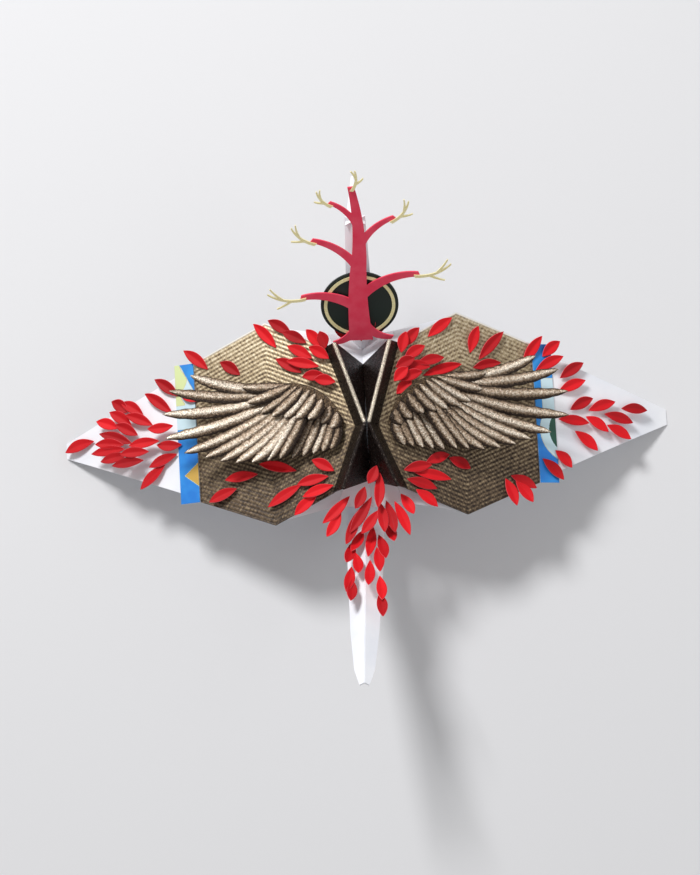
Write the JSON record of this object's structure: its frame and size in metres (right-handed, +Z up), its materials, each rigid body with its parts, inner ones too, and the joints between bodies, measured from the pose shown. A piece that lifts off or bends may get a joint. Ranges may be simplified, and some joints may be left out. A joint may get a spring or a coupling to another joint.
{
  "type": "decorated origami crane",
  "caption": "Folded paper crane with ribbed panels and bronze feather wings on its back, red paper leaves and a cut-paper tree on its neck.",
  "frame": {"origin": "on the floor under the middle of the keel", "axes": "+X out along the right wing, +Y towards the head, +Z up"},
  "size_m": [0.0954, 0.0792, 0.0388],
  "materials": {
    "white_paper": "matt folded paper",
    "ribbed_bronze": "ribbed paper rubbed with bronze",
    "blue_card": "printed card",
    "bronze_feather": "metallic bronze paper",
    "red_leaf": "matt coloured paper",
    "red_card": "matt coloured card",
    "gold_card": "pale gold card",
    "dark_card": "dark matt card"
  },
  "bodies": {
    "root": {"backing_disc": "dark_card", "coverts_left": "bronze_feather", "coverts_right": "bronze_feather", "crane": "white_paper", "disc_ring": "gold_card", "feather_arm_left": "bronze_feather", "feather_arm_right": "bronze_feather", "gold_twig_1": "gold_card", "gold_twig_2": "gold_card", "gold_twig_3": "gold_card", "gold_twig_4": "gold_card", "gold_twig_5": "gold_card", "gold_twig_6": "gold_card", "leaves_left_tip": "red_leaf", "leaves_left_wing": "red_leaf", "leaves_nape": "red_leaf", "leaves_right_tip": "red_leaf", "leaves_right_wing": "red_leaf", "leaves_rump": "red_leaf", "leaves_tail": "red_leaf", "paper_tree": "red_card", "primary_1_left": "bronze_feather", "primary_1_right": "bronze_feather", "primary_2_left": "bronze_feather", "primary_2_right": "bronze_feather", "primary_3_left": "bronze_feather", "primary_3_right": "bronze_feather", "primary_4_left": "bronze_feather", "primary_4_right": "bronze_feather", "primary_5_left": "bronze_feather", "primary_5_right": "bronze_feather", "primary_6_left": "bronze_feather", "primary_6_right": "bronze_feather", "primary_7_left": "bronze_feather", "primary_7_right": "bronze_feather", "primary_8_left": "bronze_feather", "primary_8_right": "bronze_feather", "primary_9_left": "bronze_feather", "primary_9_right": "bronze_feather", "secondary_1_left": "bronze_feather", "secondary_1_right": "bronze_feather", "secondary_2_left": "bronze_feather", "secondary_2_right": "bronze_feather", "secondary_3_left": "bronze_feather", "secondary_3_right": "bronze_feather", "secondary_4_left": "bronze_feather", "secondary_4_right": "bronze_feather", "secondary_5_left": "bronze_feather", "secondary_5_right": "bronze_feather", "secondary_6_left": "bronze_feather", "secondary_6_right": "bronze_feather", "secondary_7_left": "bronze_feather", "secondary_7_right": "bronze_feather", "wing_band_left": "blue_card", "wing_band_right": "blue_card", "wing_panel_left": "ribbed_bronze", "wing_panel_right": "ribbed_bronze"}
  },
  "joints": []
}
